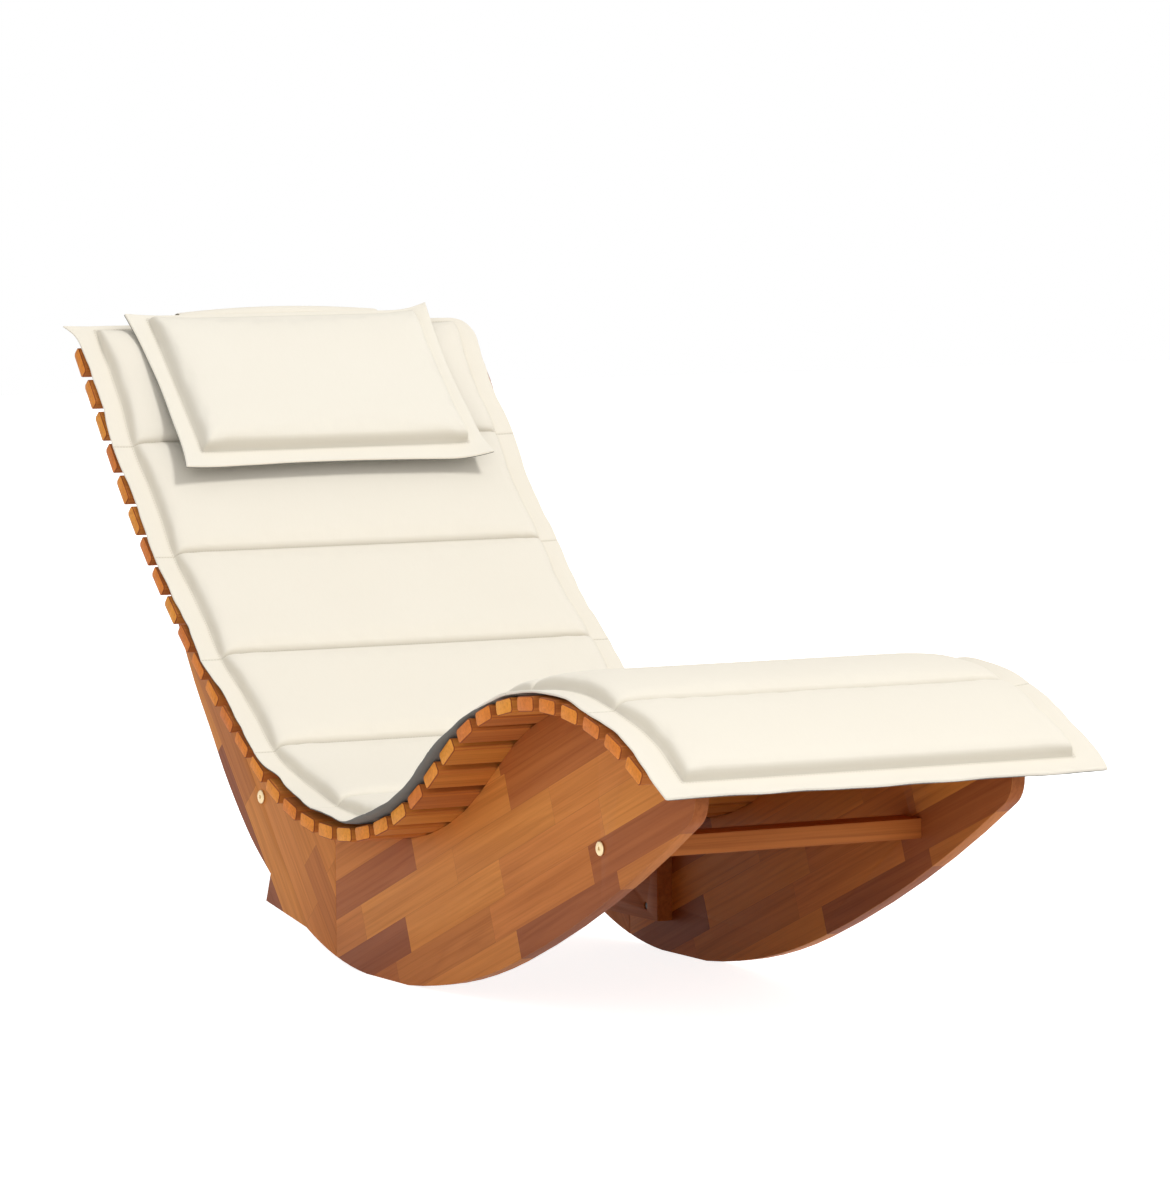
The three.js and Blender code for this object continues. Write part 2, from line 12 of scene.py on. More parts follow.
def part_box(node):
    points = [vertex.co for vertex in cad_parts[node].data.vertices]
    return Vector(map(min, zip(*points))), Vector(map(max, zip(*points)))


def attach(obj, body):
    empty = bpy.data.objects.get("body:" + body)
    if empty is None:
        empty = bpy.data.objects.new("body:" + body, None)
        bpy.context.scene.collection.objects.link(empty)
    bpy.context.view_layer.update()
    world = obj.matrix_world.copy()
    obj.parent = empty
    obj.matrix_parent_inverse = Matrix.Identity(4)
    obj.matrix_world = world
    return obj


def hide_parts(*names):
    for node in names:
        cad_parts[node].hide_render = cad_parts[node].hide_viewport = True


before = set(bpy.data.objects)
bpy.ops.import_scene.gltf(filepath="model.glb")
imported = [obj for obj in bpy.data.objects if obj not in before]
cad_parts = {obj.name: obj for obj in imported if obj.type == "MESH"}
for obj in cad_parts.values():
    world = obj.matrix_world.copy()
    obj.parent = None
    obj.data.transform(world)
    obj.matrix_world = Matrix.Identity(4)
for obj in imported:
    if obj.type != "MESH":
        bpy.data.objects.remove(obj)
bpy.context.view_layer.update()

mm = 0.001

# Camera
camera_place = Vector((6.87829, -3.68621, 1.1122))
camera_turn = math.radians(28.498)  # to the left of straight back along the lounge
camera_tilt = math.radians(4.611)  # below level
camera_roll = math.radians(0.273)
lens_length = 6223.5  # in pixels of the picture
picture_height = 1177
sensor_side = 36  # millimetres, as cameras name it
camera_reach = 60

# Light and floor
world_strength = 0.55
floor_glow = 0.85  # what the camera sees of the floor, beyond its own light
floor_half = 14
lamps = [  # name, place, aim, size, power
    ("top_light", (4.2, 2.1, 7.2), (0, 0, 0.3), 1.9, 290),
    ("fill_light", (2.4, -2.6, 1.6), (0.1, 0, 0.3), 2.6, 17),
]

# Lying curve: the line of the slats' undersides, from the head end to the foot end
head_slope = math.radians(51)
head_straight = 173 * mm
back_radius = 1640 * mm
back_turn = math.radians(21)
seat_radius = 430 * mm
seat_turn = math.radians(67)
rise_straight = 73 * mm
knee_radius = 370 * mm
knee_turn = math.radians(28)
foot_radius = 460 * mm
seat_height = 181 * mm
slat_count = 35
slat_pitch = 53 * mm
slat_thickness = 18 * mm
slat_half = 300 * mm  # of its length
rest_gap = 0.3 * mm

# Wooden and metal edges
panel_edge = 3.2 * mm
board_edge = 1.4 * mm
slat_edge = 1.1 * mm
metal_edge = 0.35 * mm
edge_steps = 2
panel_edge_steps = 3
smooth_angle = math.radians(32)
flat_angle = math.radians(0.4)  # under which neighbouring faces are one face
weld_reach = 0.01 * mm

# Glued staves of the side panels
back_stave_turn = math.radians(-48)
front_stave_turn = math.radians(21.5)
stave_width = 46 * mm
stave_length = 270 * mm
stave_start = (2, 0, 2)  # of the staves' rows, from the lounge's middle
glue_line = 0.35 * mm
edge_wear_and_highlight = 0.15  # of the panels' rounded edges: paler, for wear and as a painted highlight

# Surface relief and pattern of the materials: a scale counts features per metre
grain_depth = 0.4 * mm
board_relief = 0.25
stave_relief = 0.22
metal_depth = 0.05 * mm
weave_depth = 0.25 * mm
weave_relief = 0.3
board_grain = (3, 28)  # scales of the growth figure, along and across
stave_grain = (3, 26)
grain_seeds = {"slat": 0.37, "slat_edge": 2.2, "rail": 3.1, "cleat": 4.3, "back": 7, "front": 5}
grain_steps = (1, 1.7, 0.6)  # in a solid board, for each 1 of its seed
fibre_fineness = 9  # of the fibres, across that figure
rings_in_figure = 7
growth_share = 0.7
pore_share = 0.28
pore_range = (0.34, 0.54)
glue_share = 0.35
tint_scale = (1.5, 12, 12)
tint_share = 0.5
grime_scale = 420
grime_share = 0.35
grime_shade = 0.6
grime_roughness = (-0.08, 0.12)  # beside the metal's own
scratch_scale = 2600
slub_scale = (60, 700, 1)
slub_share = 0.09
slub_relief = 0.8  # in weave depths
cloud_scale = 9
cloud_share = 0.1
thread_share = 0.45  # of the stitches' own colour
thread_relief = 2.5

# Slat screws
side_middle = 213 * mm  # of each side panel, from the lounge's middle
screw_head = 3.9 * mm
screw_rise = 0.2 * mm
screw_sides = 20
screw_rim = 0.14 * screw_head
screw_recess = 0.45 * screw_head
screw_recess_depth = 0.35 * screw_head
screw_point_share = 0.5
screw_turn = 0.6  # radians, from each slat's screws to the next

# Cloth and sewing, of cushion and pillow
line_reach = 1 * mm  # a place this close to a sewn line is on it
far_off = 1000 * mm  # where there is no sewn line
thread_pitch = 1.3 * mm
stitch_pitch = 4.2 * mm
stitch_share = 0.68  # of that pitch
stitch_half = 0.6 * mm  # of a stitch's width
stitch_inset = 2 * mm  # of the border's stitches, outside its sewn line
# Painted shade: the cloth is coloured darker in the grooves beside the sewn lines, where shade falls
groove_reach = 7 * mm  # of the painted shade in the grooves, up the padding
cross_groove_reach = 3.5 * mm
groove_share = 0.5  # of the painted groove shade's colour, where the grooves are darkest
side_groove_lightness = 0.4  # lightness of the painted shade beside the border, where 0 is the darkest
border_thickness = 5 * mm
border_shares = (0, 0.07, 0.3, 0.55, 0.8, 0.93)  # places of a border's mesh lines, from its edge
beside_seam = (2.2 * mm, 6.5 * mm)  # mesh lines closest to the sewing
head_wall_share = 0.45  # of the padding's height, risen close to its seam at the head end
crease = 0.8
no_backing = -1.5  # values on a pad's upper corner: 0.5 and more are grey, and its lower corner has 1
# on the upper corner where the grey rises over the cushion's edge as painted shade
shaded_edge_backing = 0.45
pillow_backing = 0.1
swell_frames = 20
swell_settings = {
    "quality": 5, "mass": 0.2, "tension_stiffness": 18, "compression_stiffness": 18, "shear_stiffness": 6,
    "bending_stiffness": 0.4, "vertex_group_mass": "sewn", "pin_stiffness": 1, "use_pressure": True,
    "uniform_pressure_force": 4, "shrink_min": -0.012,
}

# Cushion
cushion_half = 300 * mm
cushion_border = 29 * mm
cushion_head_border = 9 * mm  # what shows of it at the head end
cushion_crown = 26 * mm
cushion_swell = 2.2 * mm  # at most, beyond the height that the padding starts with
cushion_cell = 8 * mm
cushion_under_step = 5  # columns of its mesh, for each one of its underside
head_past = 23 * mm  # border's edge past the start of the lying curve
head_panel = 172 * mm
panel_length = 191.6 * mm
panel_count = 8
foot_panel = 163 * mm
seam_height = 13 * mm  # of the padding, at a cross seam
seam_run = 6 * mm  # each side of a cross seam
seam_wall_share = 0.6  # of the padding's height above the seam, risen over that run
seam_end_run = 22 * mm  # at the ends of a cross seam, where it sinks to the border
wall_run = 5 * mm  # of the padding's steep edge beside the border
wall_share = 0.78  # of the padding's height above the border, risen over that run
crown_run = 70 * mm

# Cushion's border, as it lies on the slats
border_dip = 1.2 * mm  # where a cross seam runs out over it
border_groove = 0.55  # of the painted shade's lightness there
border_wave = 3 * mm
border_wave_form = (60 * mm, 3.1)  # length and seed, as in the forms below
edge_wander = 3 * mm
edge_wander_form = (35 * mm, 7.7)
end_wander = 1.2 * mm
end_wander_form = (50 * mm, 1.3)
rise_lift = 2 * mm  # the side borders stand off the slats on the way up to the knees
rise_overhang = 17 * mm  # and reach past their ends
rise_lift_middle = 1120 * mm  # from the head
rise_lift_reach = 290 * mm
slat_ripple = 0.12  # of that lift, once for each slat
seat_lift = 8 * mm  # the cushion bridges the seat's bottom
seat_draw = 6 * mm  # of its right side there
seat_lift_middle = 925 * mm  # from the head
seat_lift_reach = 170 * mm
knee_flare = 10 * mm  # the left border turns up past the knees
knee_flare_middle = 1570 * mm
knee_flare_reach = 190 * mm
foot_border_gain = 9 * mm  # the side borders widen towards the foot
foot_border_from = 1050 * mm  # from the head
side_draw = 4 * mm  # between cross seams
side_draw_run = 60 * mm
head_draw_gain = 1.3  # of the left side beside the head panel
head_pinch = 6 * mm
head_pinch_reach = 60 * mm
right_tip_out = 23 * mm  # of the head end's corners
left_tip_in = 8 * mm
tip_reach = 34 * mm
foot_pinch = 7 * mm  # of the foot end's left corner
foot_pinch_reach = 90 * mm
edge_shade_from = 380 * mm  # where the grey rises over the edge as painted shade, from the head
edge_shade_to = 1520 * mm
edge_shade_run = 90 * mm

# Pillow
pillow_half = 223 * mm
pillow_length = 274 * mm
pillow_border = 27 * mm
pillow_head_border = 9 * mm
pillow_crown = 34 * mm
pillow_belly = 6.2 * mm
pillow_swell = 3 * mm
pillow_crown_share = 0.89  # of the padding's height, before it swells
pillow_belly_share = 0.7
pillow_cell = 6 * mm
pillow_under_step = 1
pillow_past = 17 * mm
pillow_head_lift = 24 * mm
pillow_tail_lift = 49 * mm
pillow_shift = 2.5 * mm  # towards the right side, as it lies
pillow_climb = 4 * mm  # towards the head, as it lies
pillow_spread = 1.01
pillow_wall_run = 6 * mm
pillow_wall_share = 0.76
pillow_crown_run = 70 * mm
pillow_wave = 2 * mm
pillow_wave_form = (75 * mm, 5.3)
pillow_draw = 5 * mm  # of its sides and its lower edge, in their middle
pillow_head_curls = (6 * mm, 16 * mm)  # of the corners, right and left
pillow_foot_curls = (4 * mm, 13 * mm)
pillow_head_curl_reach = 55 * mm
pillow_foot_curl_reach = 60 * mm
pillow_head_skew = 7 * mm  # of both corners at the head, towards the right
pillow_foot_skew = 6 * mm  # of the right corner at the foot

# Flap
flap_half = 150 * mm
flap_straight = 5 * mm
flap_radius = 14 * mm
flap_drop = 150 * mm
flap_thickness = 1.6 * mm
flap_hem = 9 * mm
flap_columns = 41
fold_steps = 18
hang_steps = 24
hang_from = 30 * mm
hang_wave = 2.2 * mm
hang_wave_form = (45 * mm, 9.1)
hang_wave_out = 0.4  # of their height, away from the first slat
hang_wave_drift = 0.3  # how fast they change down the flap, beside across it
hang_narrowing = 0.02
crest_run = 45 * mm
crest_rise = 1.5 * mm  # in its middle
crest_fall = 7.5 * mm  # from there to its sides


# Lying curve
def curve_runs():
    runs = [
        (head_straight, 0),
        (back_radius * back_turn, 1 / back_radius),
        (seat_radius * seat_turn, 1 / seat_radius),
        (rise_straight, 0),
        (knee_radius * knee_turn, -1 / knee_radius),
    ]
    used = sum(length for length, _ in runs)
    return [*runs, (slat_count * slat_pitch - used, -1 / foot_radius)]


def advanced(x, z, slope, length, bending):
    turn = length * bending
    chord = length if bending == 0 else 2 * math.sin(turn / 2) / bending
    heading = slope + turn / 2
    return x + chord * math.cos(heading), z + chord * math.sin(heading), slope + turn


def curve_from_head(distance):
    x, z, slope = 0, 0, -head_slope
    left = distance
    if left > 0:
        for length, bending in curve_runs():
            x, z, slope = advanced(x, z, slope, min(left, length), bending)
            left = max(left - length, 0)
    return advanced(x, z, slope, left, 0)


def seat_bottom():
    return head_straight + back_radius * back_turn + seat_radius * (head_slope - back_turn)


def curve_at(distance):
    low_x, low_z, _ = curve_from_head(seat_bottom())
    x, z, slope = curve_from_head(distance)
    return x - low_x + curve_shift, z - low_z + seat_height, slope


def lifted(distance, lift, y):
    x, z, slope = curve_at(distance)
    return Vector((x - lift * math.sin(slope), y, z + lift * math.cos(slope)))


curve_shift = 0
first_low, first_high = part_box("slat_01")
curve_shift = (first_low + first_high).x / 2 - lifted(slat_pitch / 2, slat_thickness / 2, 0).x


# Shared makers
def select_none():
    for other in bpy.context.selected_objects:
        other.select_set(False)


def select_only(piece):
    select_none()
    piece.select_set(True)
    bpy.context.view_layer.objects.active = piece


def new_object(name, content):
    made = bpy.data.objects.new(name, content)
    bpy.context.scene.collection.objects.link(made)
    return made


def mesh_piece(name, points, faces):
    mesh = bpy.data.meshes.new(name)
    mesh.from_pydata([tuple(point) for point in points], [], faces)
    return new_object(name, mesh)


def set_all(target, settings):
    for key, value in settings.items():
        setattr(target, key, value)


def modify(piece, name, kind, **settings):
    modifier = piece.modifiers.new(name, kind)
    set_all(modifier, settings)
    return modifier


def modify_at_once(piece, name, kind, **settings):
    modify(piece, name, kind, **settings)
    select_only(piece)
    bpy.ops.object.modifier_apply(modifier=name)


def linear(red, green, blue):
    shares = [part / 255 for part in (red, green, blue)]
    return (*[part / 12.92 if part < 0.04045 else ((part + 0.055) / 1.055) ** 2.4 for part in shares], 1)


def set_input(tree, socket, value):
    if isinstance(value, bpy.types.NodeSocket):
        tree.links.new(value, socket)
    else:
        socket.default_value = value


def add(tree, kind, inputs=None, **settings):
    made = tree.nodes.new("ShaderNode" + kind)
    set_all(made, settings)
    for key, value in (inputs or {}).items():
        set_input(tree, made.inputs[key], value)
    return made


def maths(tree, operation, *values):
    made = add(tree, "Math", dict(enumerate(values)), operation=operation)
    return made.outputs[0]


def times(tree, first, second):
    return maths(tree, "MULTIPLY", first, second)


def ranged(tree, value, low, high):
    """low where the value is 0, high where it is 1."""
    return add(tree, "MapRange", {"Value": value, "To Min": low, "To Max": high}).outputs[0]


def ramp(tree, factor, stops):
    made = add(tree, "ValToRGB", {"Fac": factor})
    elements = made.color_ramp.elements
    while len(elements) < len(stops):
        elements.new(1)
    for element, (place, colour) in zip(elements, stops):
        element.position = place
        element.color = colour
    return made.outputs["Color"]


def mixed(tree, factor, first, second, blend="MIX"):
    made = add(tree, "Mix", data_type="RGBA", blend_type=blend)
    for socket, value in zip((made.inputs[0], made.inputs[6], made.inputs[7]), (factor, first, second)):
        set_input(tree, socket, value)
    return made.outputs[2]


def object_place(tree):
    return add(tree, "TexCoord").outputs["Object"]


def scaled(tree, vector, scale):
    return add(tree, "Mapping", {"Vector": vector, "Scale": scale}).outputs["Vector"]


def pattern(tree, vector, scale=1, **inputs):
    """Soft noise."""
    return add(tree, "TexNoise", {"Vector": vector, "Scale": scale, **inputs}).outputs["Fac"]


def relief(tree, shader, height, strength, depth):
    bumped = add(tree, "Bump", {"Height": height, "Strength": strength, "Distance": depth})
    tree.links.new(bumped.outputs["Normal"], shader.inputs["Normal"])


def new_material(name, **values):
    material = bpy.data.materials.new(name)
    material.use_nodes = True
    shader = material.node_tree.nodes["Principled BSDF"]
    for key, value in values.items():
        shader.inputs[key.replace("_", " ")].default_value = value
    return material, material.node_tree, shader


def mixed_colour(first, second):
    return tuple((a + b) / 2 for a, b in zip(first, second))


# Wood
white = linear(255, 255, 255)
golden = linear(228, 148, 70)
orange = linear(212, 130, 64)
brown = linear(186, 108, 54)
reddish = linear(150, 82, 46)
pale = linear(244, 176, 100)
growth_shade = linear(230, 222, 214)
pore_shade = linear(176, 142, 122)
slat_tones = [  # of the faces, of the ends
    (linear(200, 118, 52), linear(246, 152, 56)),
    (linear(214, 138, 58), linear(252, 168, 66)),
    (linear(178, 102, 48), linear(240, 142, 54)),
    (linear(206, 128, 54), linear(250, 160, 64)),
    (linear(186, 108, 50), linear(236, 138, 60)),
]
# Painted shade: the eased edges round the slats' ends are coloured dark, where they turn away from the
# light
slat_end_edge_shade = linear(160, 84, 36)
stave_tones = [
    (0, reddish), (0.15, brown), (0.36, orange),
    (0.6, mixed_colour(orange, golden)), (0.82, golden), (1, brown),
]
wood_gloss = 0.16
wood_roughness = (0.62, 0.5)


def wood_grain(tree, vector, along, across):
    """Fine fibres and broad growth figure, running along the first axis of the vector."""
    fine = across * fibre_fineness
    fibre = pattern(tree, scaled(tree, vector, (along, fine, fine)), Detail=5, Roughness=0.65)
    broad = scaled(tree, vector, (along * 0.5, across, across))
    figure = pattern(tree, broad, Detail=3, Distortion=0.9)
    rings = maths(tree, "PINGPONG", times(tree, figure, rings_in_figure), 1)
    return fibre, rings


def finish_wood(tree, shader, colour, fibre, rings, bump):
    shade = ramp(tree, rings, [(0, growth_shade), (1, white)])
    toned = mixed(tree, growth_share, colour, shade, "MULTIPLY")
    pores = ramp(tree, fibre, list(zip(pore_range, (pore_shade, white))))
    tree.links.new(mixed(tree, pore_share, toned, pores, "MULTIPLY"), shader.inputs["Base Color"])
    tree.links.new(ranged(tree, fibre, *wood_roughness), shader.inputs["Roughness"])
    relief(tree, shader, fibre, bump, grain_depth)


def solid_wood(name, colour, turn, seed, end_colour=None):
    """Wood of one board: its grain runs along X, or along Y when turned, and its ends may differ."""
    material, tree, shader = new_material(name, Specular_IOR_Level=wood_gloss)
    place = object_place(tree)
    turned = add(tree, "Mapping", {
        "Vector": place, "Rotation": (0, 0, turn), "Location": [seed * step for step in grain_steps],
    }).outputs["Vector"]
    fibre, rings = wood_grain(tree, turned, *board_grain)
    tint = pattern(tree, scaled(tree, turned, tint_scale))
    warmed = mixed(tree, times(tree, tint, tint_share), colour, orange)
    if end_colour:
        side = maths(tree, "ABSOLUTE", add(tree, "SeparateXYZ", {"Vector": place}).outputs["Y"])
        at_end = maths(tree, "GREATER_THAN", side, slat_half - slat_edge)
        warmed = mixed(tree, at_end, warmed, end_colour)
    finish_wood(tree, shader, warmed, fibre, rings, board_relief)
    return material


def stave_wood(name, turn, seed, wear_and_highlight=0.0):
    """Staves glued edge to edge, rising at an angle along the lounge, each with its own colour."""
    material, tree, shader = new_material(name, Specular_IOR_Level=wood_gloss)
    turned = add(tree, "Mapping", {
        "Vector": object_place(tree), "Rotation": (0, turn, 0), "Location": stave_start,
    }).outputs["Vector"]
    parts = add(tree, "SeparateXYZ", {"Vector": turned}).outputs
    rows = maths(tree, "DIVIDE", parts["Z"], stave_width)
    row = maths(tree, "FLOOR", rows)
    row_seed = maths(tree, "ADD", row, seed)
    row_chance = add(tree, "TexWhiteNoise", {"W": row_seed}, noise_dimensions="1D").outputs["Value"]
    places = maths(tree, "ADD", maths(tree, "DIVIDE", parts["X"], stave_length), row_chance)
    column = maths(tree, "FLOOR", places)
    cell = add(tree, "CombineXYZ", {"X": row, "Y": column, "Z": seed})
    chance = add(tree, "TexWhiteNoise", {"Vector": cell.outputs[0]}, noise_dimensions="3D")
    colour = ramp(tree, chance.outputs["Value"], stave_tones)
    offset = add(tree, "VectorMath", {0: turned, 1: chance.outputs["Color"]}, operation="ADD")
    fibre, rings = wood_grain(tree, offset.outputs[0], *stave_grain)
    across, along = edge_reach(tree, rows, stave_width), edge_reach(tree, places, stave_length)
    line = maths(tree, "LESS_THAN", maths(tree, "MINIMUM", across, along), glue_line)
    lined = mixed(tree, times(tree, line, glue_share), colour, reddish)
    # paler on the rounded edges, for wear and as a painted highlight
    finish_wood(tree, shader, mixed(tree, wear_and_highlight, lined, pale), fibre, rings, stave_relief)
    return material


def edge_reach(tree, value, size):
    """Distance to the nearest edge of a row of equal cells."""
    middle = maths(tree, "ABSOLUTE", maths(tree, "SUBTRACT", maths(tree, "FRACT", value), 0.5))
    return times(tree, maths(tree, "SUBTRACT", 0.5, middle), size)


def smooth_group():
    """Smooth shading, except over edges sharper than the smooth angle."""
    group = bpy.data.node_groups.new("soft_shading", "GeometryNodeTree")
    for way in ("INPUT", "OUTPUT"):
        group.interface.new_socket("Geometry", in_out=way, socket_type="NodeSocketGeometry")
    start, angle, sharp, faces, edges, end = map(group.nodes.new, (
        "NodeGroupInput", "GeometryNodeInputMeshEdgeAngle", "FunctionNodeCompare",
        "GeometryNodeSetShadeSmooth", "GeometryNodeSetShadeSmooth", "NodeGroupOutput",
    ))
    edges.domain = "EDGE"
    edges.inputs["Shade Smooth"].default_value = False
    set_input(group, faces.inputs["Geometry"], start.outputs[0])
    set_input(group, edges.inputs["Geometry"], faces.outputs[0])
    set_input(group, sharp.inputs["A"], angle.outputs["Unsigned Angle"])
    set_input(group, sharp.inputs["B"], smooth_angle)
    set_input(group, edges.inputs["Selection"], sharp.outputs[0])
    set_input(group, end.inputs[0], edges.outputs[0])
    return group


soft_shading = smooth_group()


def dress(node, materials, edge, steps=edge_steps):
    """Gives a solid its materials and eased edges. The last material is on those edges."""
    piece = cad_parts[node]
    piece.data.materials.clear()
    for material in materials:
        piece.data.materials.append(material)
    modify(piece, "weld", "WELD", merge_threshold=weld_reach)
    modify(piece, "flat_faces", "DECIMATE", decimate_type="DISSOLVE", angle_limit=flat_angle)
    modify(
        piece, "eased_edges", "BEVEL", width=edge, segments=steps, limit_method="ANGLE",
        angle_limit=smooth_angle, material=len(materials) - 1,
    )
    modify(piece, "shading", "NODES", node_group=soft_shading)


def dress_slats():
    quarter = math.pi / 2
    woods = [
        solid_wood(f"slat_wood_{i}", face, quarter, i * grain_seeds["slat"], end)
        for i, (face, end) in enumerate(slat_tones)
    ]
    edge_seed = grain_seeds["slat_edge"]
    # its eased edges turn dark at the slats' ends, as painted shade
    edge = solid_wood("slat_edge_wood", slat_tones[0][0], quarter, edge_seed, slat_end_edge_shade)
    for i in range(slat_count):
        wood = woods[(i * 3 + i // 4) % len(woods)]
        dress(f"slat_{i + 1:02d}", [wood, edge], slat_edge)


def dress_sides():
    for part, turn in (("back", back_stave_turn), ("front", front_stave_turn)):
        seed = grain_seeds[part]
        staves = stave_wood(f"{part}_stave_wood", turn, seed)
        edge = stave_wood(f"{part}_edge_wood", turn, seed, edge_wear_and_highlight)
        for hand in ("right", "left"):
            dress(f"{hand}_{part}_panel", [staves, edge], panel_edge, panel_edge_steps)
    rail = solid_wood("rail_wood", mixed_colour(orange, brown), math.pi / 2, grain_seeds["rail"])
    cleat = solid_wood("cleat_wood", brown, 0, grain_seeds["cleat"])
    for hand in ("right", "left"):
        dress(f"{hand}_joint_cleat", [cleat], board_edge)
    for end in ("rear", "front"):
        dress(f"{end}_rail", [rail], board_edge)


# Metal
metal_looks = {  # colour, roughness, depth share of the scratches
    "pale_brass": (linear(228, 206, 164), 0.4, 0.15),
    "zinc_plate": (linear(196, 198, 202), 0.38, 0.2),
    "dark_steel": (linear(96, 90, 84), 0.45, 0.2),
}


def metal(name, colour, roughness, scratch):
    material, tree, shader = new_material(name, Metallic=1.0)
    place = object_place(tree)
    grime = pattern(tree, place, grime_scale, Detail=4)
    darker = (*[part * grime_shade for part in colour[:3]], 1)
    toned = mixed(tree, times(tree, grime, grime_share), colour, darker)
    tree.links.new(toned, shader.inputs["Base Color"])
    limits = [roughness + change for change in grime_roughness]
    tree.links.new(ranged(tree, grime, *limits), shader.inputs["Roughness"])
    relief(tree, shader, pattern(tree, place, scratch_scale, Detail=2), scratch, metal_depth)
    return material


def dress_metal():
    brass, zinc, dark = [metal(name, *look) for name, look in metal_looks.items()]
    for hand in ("right", "left"):
        for end in ("rear", "front"):
            dress(f"{end}_{hand}_bolt", [brass], metal_edge)
            dress(f"{end}_{hand}_barrel_nut", [zinc], metal_edge)
        for number in (1, 2):
            dress(f"{hand}_cleat_screw_{number}", [dark], metal_edge)
    add_slat_screws(dark)


def add_slat_screws(material):
    """One countersunk screw with a round recess through each slat into each side."""
    first = screw_form(material)
    for i in range(slat_count):
        along = (i + 0.5) * slat_pitch
        slope = curve_at(along)[2]
        for hand, side in (("right", -1), ("left", 1)):
            screw = new_object(f"slat_screw_{hand}_{i + 1:02d}", first.copy())
            top = lifted(along, slat_thickness + screw_rise, side * side_middle)
            turn = Matrix.Rotation(-slope, 4, "Y") @ Matrix.Rotation(screw_turn * i + side, 4, "Z")
            screw.data.transform(Matrix.Translation(top) @ turn)
            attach(screw, "frame")
    bpy.data.meshes.remove(first)


def select_faces(mesh, wanted):
    for face in bmesh.from_edit_mesh(mesh).faces:
        face.select = wanted(face.normal.z)


def screw_form(material):
    select_none()
    bpy.ops.mesh.primitive_cylinder_add(
        vertices=screw_sides, radius=screw_head, depth=screw_head, location=(0, 0, -screw_head / 2),
    )
    screw = bpy.context.object
    bpy.ops.object.transform_apply(location=True)
    bpy.ops.object.mode_set(mode="EDIT")
    select_faces(screw.data, lambda up: up > 0.5)
    bpy.ops.mesh.inset(thickness=screw_rim, depth=screw_rise / 2)
    bpy.ops.mesh.inset(thickness=screw_recess, depth=0)
    bpy.ops.mesh.inset(thickness=0, depth=-screw_recess_depth)
    bpy.ops.mesh.select_all(action="DESELECT")
    select_faces(screw.data, lambda up: up < -0.5)
    bpy.ops.transform.resize(value=(screw_point_share, screw_point_share, 1))
    bpy.ops.object.mode_set(mode="OBJECT")
    screw.data.materials.append(material)
    bpy.ops.object.shade_smooth_by_angle(angle=smooth_angle)
    mesh = screw.data
    bpy.data.objects.remove(screw)
    return mesh


# Cloth
# The underside's own grey, also used as painted shade where it rises over the cushion's edge
underside_and_shade_grey = linear(118, 117, 112)
# Painted shade: the colour of the grooves beside the sewn lines at their darkest
painted_groove_shade = linear(170, 162, 145)
cloud_shade = linear(226, 214, 190)
slub_shade = linear(205, 192, 166)
stitch_shade = linear(196, 184, 160)


def canvas(name, colour):
    """Plain woven canvas, stitched on the sewn lines, with painted shade beside them, grey on its
    underside and, as painted shade, grey up the cushion's edge along the middle of its length.
    """
    material, tree, shader = new_material(name, Roughness=0.9, Sheen_Weight=0.06, Sheen_Roughness=0.5)
    cloth = add(tree, "UVMap", uv_map="cloth").outputs[0]
    parts = add(tree, "SeparateXYZ", {"Vector": cloth}).outputs
    weave = times(tree, thread(tree, parts["X"]), thread(tree, parts["Y"]))
    slub = pattern(tree, scaled(tree, cloth, slub_scale), Detail=3)
    cloud = pattern(tree, object_place(tree), cloud_scale, Detail=3)
    side = stitches(tree, "side_seam", parts["X"])
    cross = stitches(tree, "cross_seam", parts["Y"])
    sewn = maths(tree, "MAXIMUM", side, cross)
    # painted shade in the grooves, strongest where the groove value is 0
    shade = ranged(tree, point_value(tree, "groove"), groove_share, 0)
    tone = mixed(tree, shade, colour, painted_groove_shade)
    mottled = mixed(tree, times(tree, cloud, cloud_share), tone, cloud_shade)
    threaded = mixed(tree, times(tree, slub, slub_share), mottled, slub_shade)
    stitched = mixed(tree, times(tree, sewn, thread_share), threaded, stitch_shade)
    under = maths(tree, "GREATER_THAN", point_value(tree, "backing_and_shade"), 0.5)
    tree.links.new(mixed(tree, under, stitched, underside_and_shade_grey), shader.inputs["Base Color"])
    height = maths(tree, "ADD", weave, times(tree, slub, slub_relief))
    raised = maths(tree, "ADD", height, times(tree, sewn, thread_relief))
    relief(tree, shader, raised, weave_relief, weave_depth)
    return material


def thread(tree, value):
    return maths(tree, "SINE", times(tree, value, 2 * math.pi / thread_pitch))


def point_value(tree, name):
    return add(tree, "Attribute", attribute_name=name).outputs["Fac"]


def stitches(tree, name, along):
    """Short stitches on a sewn line, from the distance to it and the distance along it."""
    on_line = maths(tree, "LESS_THAN", point_value(tree, name), stitch_half)
    pitches = maths(tree, "DIVIDE", along, stitch_pitch)
    dash = maths(tree, "LESS_THAN", maths(tree, "FRACT", pitches), stitch_share)
    return times(tree, on_line, dash)


def map_cloth(mesh, places):
    """Lays the cloth map out flat, from each point's place on the flat cloth."""
    corners = np.empty(len(mesh.loops), int)
    mesh.loops.foreach_get("vertex_index", corners)
    mesh.uv_layers.new(name="cloth").data.foreach_set("uv", np.array(places)[corners].ravel())


def label_points(mesh, labels):
    for label, values in labels.items():
        layer = mesh.attributes.new(label, "FLOAT", "POINT")
        layer.data.foreach_set("value", values)


def refine(piece):
    """One subdivision, applied, with smooth shading."""
    modify_at_once(piece, "finer", "SUBSURF", levels=1, render_levels=1)
    for polygon in piece.data.polygons:
        polygon.use_smooth = True


# Quilted pads: layout, padding and sewing
def border_lines(edge, seam):
    return [edge + (seam - edge) * share for share in border_shares]


